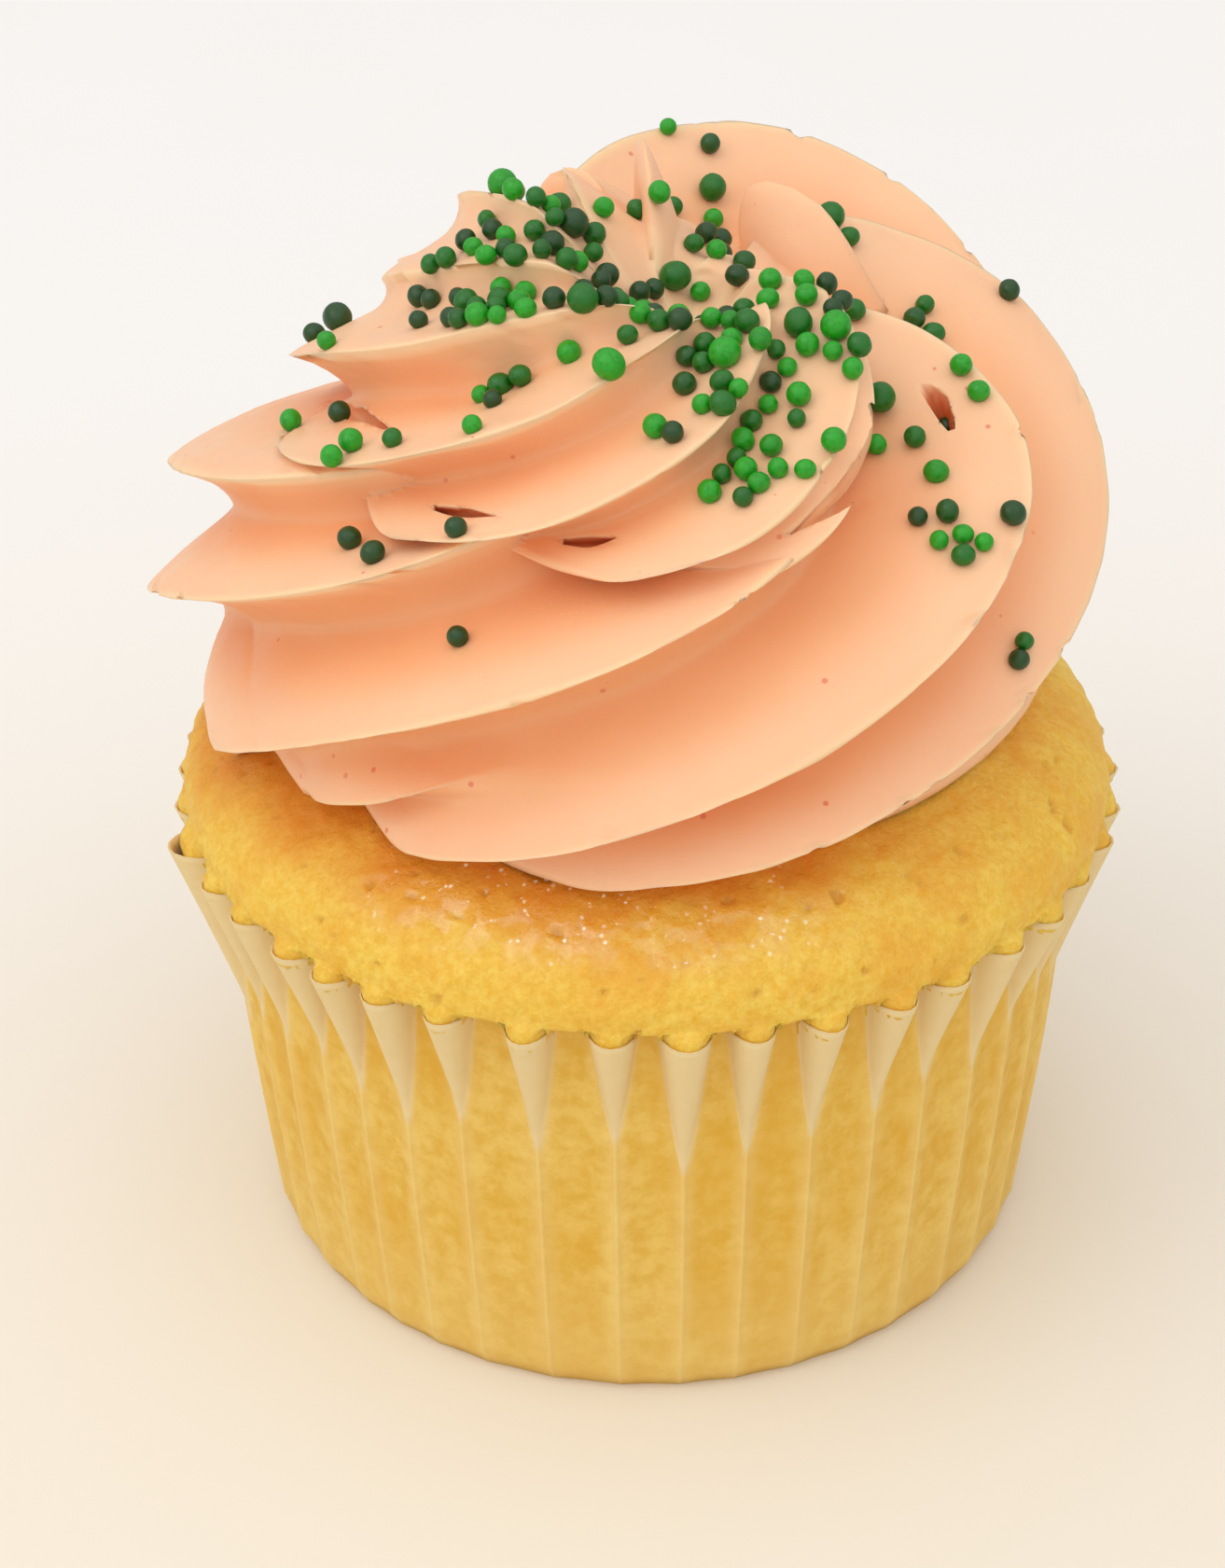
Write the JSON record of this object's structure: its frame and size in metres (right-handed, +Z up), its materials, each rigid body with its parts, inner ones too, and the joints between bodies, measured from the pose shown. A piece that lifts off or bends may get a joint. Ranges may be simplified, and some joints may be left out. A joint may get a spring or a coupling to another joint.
{
  "type": "frosted cupcake",
  "caption": "Cupcake in a pleated paper case: domed yellow sponge under a two-tier piped buttercream swirl, with tiny green sugar balls.",
  "frame": {"origin": "middle of the case's flat base, on the surface the cupcake stands on", "axes": "+Z up through the middle of the cupcake, -Y towards the side the picture shows"},
  "size_m": [0.065, 0.0642, 0.0736],
  "materials": {
    "paper": "matte greaseproof paper, turned golden where it clings to the sponge",
    "sponge": "fine golden crumb with a few moist glints",
    "buttercream": "smooth, soft satin",
    "sprinkles": "glossy sugar balls in three greens"
  },
  "bodies": {
    "root": {"paper_case": "paper", "sponge": "sponge", "frosting": "buttercream"}
  },
  "joints": []
}
